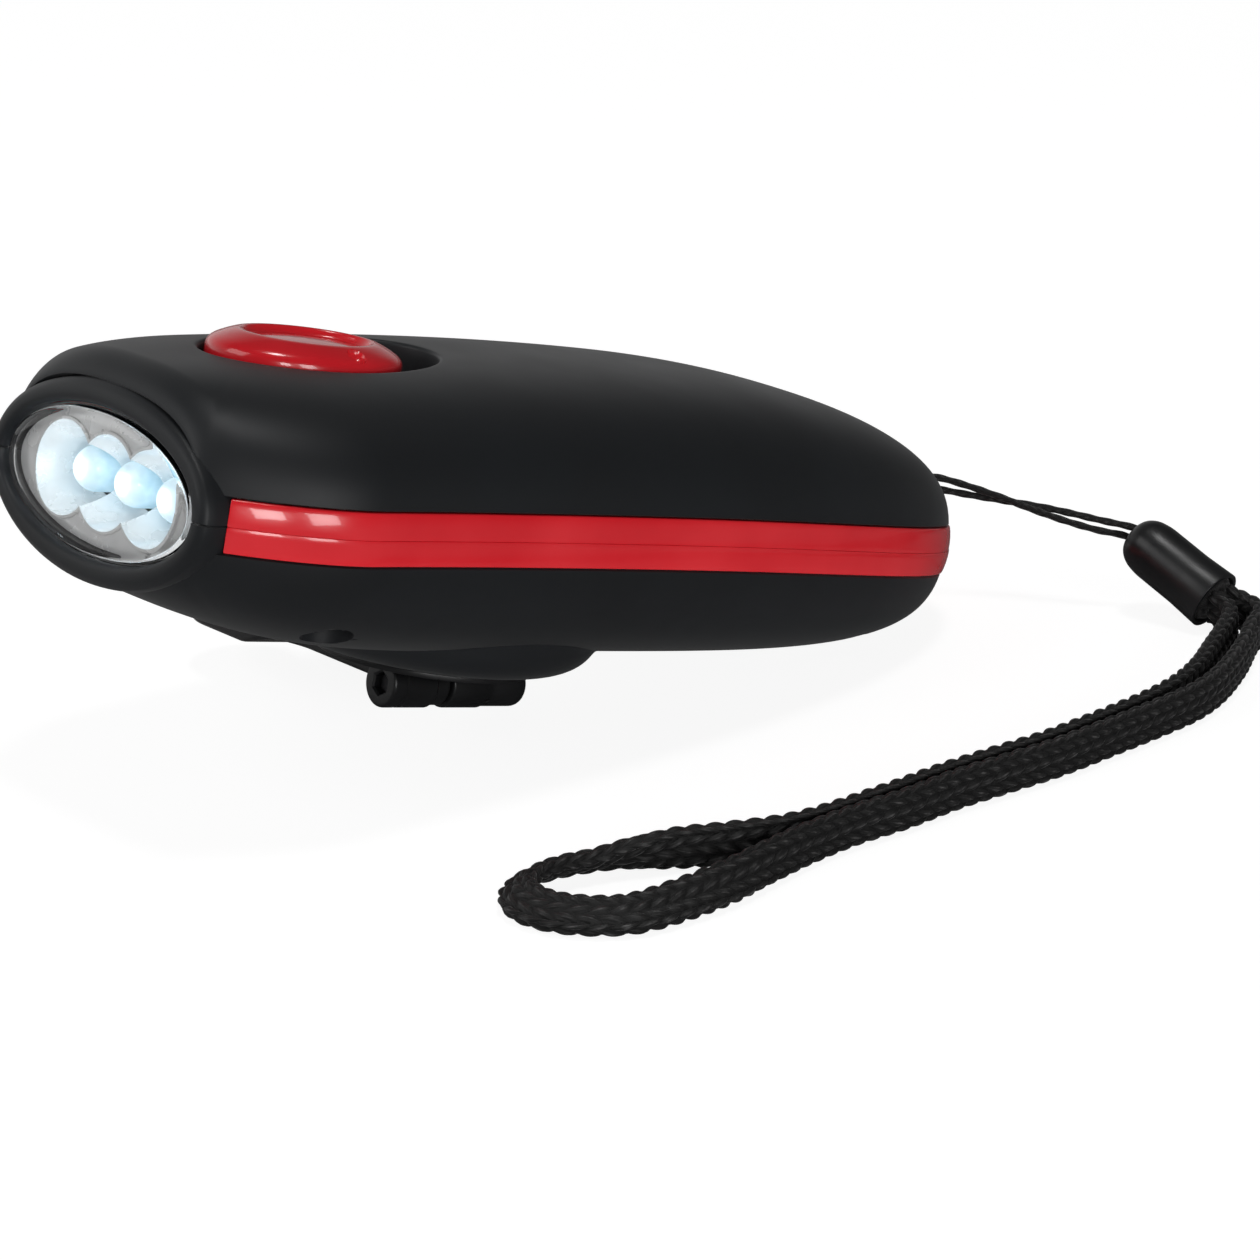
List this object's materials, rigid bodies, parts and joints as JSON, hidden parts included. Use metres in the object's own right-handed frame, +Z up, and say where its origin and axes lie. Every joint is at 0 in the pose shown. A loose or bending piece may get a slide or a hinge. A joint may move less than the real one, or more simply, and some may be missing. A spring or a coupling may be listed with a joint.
{
  "type": "hand crank flashlight",
  "caption": "Palm-sized hand crank flashlight: black egg-shaped case with a red band, oval lens, slide button, folding crank under the belly and a wrist strap.",
  "frame": {"origin": "on the table, at the bottom centre of the flashlight's box without its cords", "axes": "+X from the lens towards the tail along the table, +Y towards the side that the folded crank arm points to, +Z up; the body leans nose up on its crank hinge and its tail"},
  "size_m": [0.1412, 0.0997, 0.0494],
  "materials": {
    "soft_touch_black": "matte soft-touch paint with a very fine grain",
    "red_gloss": "high gloss moulded red",
    "lens_clear": "polished clear acrylic",
    "reflector_silver": "vacuum-metallised plastic",
    "diode_clear": "water-clear epoxy, lit blue-white",
    "board_green": "green lacquered circuit board",
    "satin_black": "satin moulded black",
    "steel": "bright zinc plated",
    "brass": "turned",
    "gear_white": "natural moulded acetal",
    "gear_plate_cream": "moulded",
    "coil_copper": "enamelled copper winding",
    "magnet_grey": "sintered ferrite ring",
    "lead_red": "insulated hook-up wire",
    "cord_black": "braided nylon"
  },
  "bodies": {
    "case": {"upper_shell": "soft_touch_black", "lower_shell": "soft_touch_black", "upper_band": "red_gloss", "lower_band": "red_gloss", "lens": "lens_clear", "reflector": "reflector_silver", "led_near": "diode_clear", "led_middle": "diode_clear", "led_far": "diode_clear", "led_board": "board_green", "control_board": "board_green", "switch_body": "satin_black", "smoothing_capacitor": "satin_black", "battery_cradle": "satin_black", "cord_sleeve": "satin_black", "first_idler_axle": "steel", "second_idler_axle": "steel", "stator_can": "steel", "strap_pin": "steel", "battery_cell_near": "steel", "battery_cell_middle": "steel", "battery_cell_far": "steel", "board_screw_near": "steel", "board_screw_far": "steel", "plate_screw_1": "steel", "plate_screw_2": "steel", "plate_screw_3": "steel", "case_screw_front_near": "steel", "case_screw_front_far": "steel", "case_screw_rear_near": "steel", "case_screw_rear_far": "steel", "hub_bush": "brass", "gear_plate": "gear_plate_cream", "stator_coil": "coil_copper", "diode_lead": "lead_red", "battery_lead": "lead_red", "coil_lead": "lead_red", "loop_cord_upper": "cord_black", "loop_cord_lower": "cord_black", "wrist_strap": "cord_black"},
    "crank_hub": {"crank_hub": "satin_black", "hub_screw": "steel", "hinge_pin": "steel", "drive_gear": "gear_white"},
    "crank_arm": {"crank_arm": "satin_black", "knob_pin": "steel"},
    "crank_knob": {"crank_knob": "satin_black"},
    "slide_button": {"slide_button": "red_gloss", "switch_lever": "satin_black"},
    "first_idler": {"first_idler_gear": "gear_white"},
    "second_idler": {"second_idler_gear": "gear_white"},
    "rotor": {"rotor_shaft": "steel", "rotor_magnet": "magnet_grey"}
  },
  "joints": [
    {"name": "crank_spin", "type": "hinge", "parent": "case", "child": "crank_hub", "pos_m": [-0.01465, -0.00538, 0.00935], "axis": [0.2158, 0, 0.9764], "continuous": true},
    {"name": "crank_fold", "type": "hinge", "parent": "crank_hub", "child": "crank_arm", "pos_m": [-0.01551, -0.00538, 0.00544], "axis": [-0.9764, 0, 0.2158], "range_deg": [0, 180]},
    {"name": "knob_spin", "type": "hinge", "parent": "crank_arm", "child": "crank_knob", "pos_m": [-0.01561, 0.02562, 0.01058], "axis": [0.2158, 0, 0.9764], "continuous": true},
    {"name": "button_slide", "type": "slide", "parent": "case", "child": "slide_button", "axis": [0.9764, 0, -0.2158], "range_m": [0, 0.004]},
    {"name": "first_idler_spin", "type": "hinge", "parent": "case", "child": "first_idler", "pos_m": [0.00245, -0.01184, 0.01258], "axis": [0.2158, 0, 0.9764], "continuous": true},
    {"name": "second_idler_spin", "type": "hinge", "parent": "case", "child": "second_idler", "pos_m": [0.01421, -0.0022, 0.01255], "axis": [0.2158, 0, 0.9764], "continuous": true},
    {"name": "rotor_spin", "type": "hinge", "parent": "case", "child": "rotor", "pos_m": [0.03006, -0.00609, 0.01713], "axis": [0.2158, 0, 0.9764], "continuous": true}
  ],
  "couplings": [
    {"joint": "first_idler_spin", "follows": "crank_spin", "ratio": -3.6},
    {"joint": "second_idler_spin", "follows": "crank_spin", "ratio": 10.8},
    {"joint": "rotor_spin", "follows": "crank_spin", "ratio": -32.4}
  ]
}
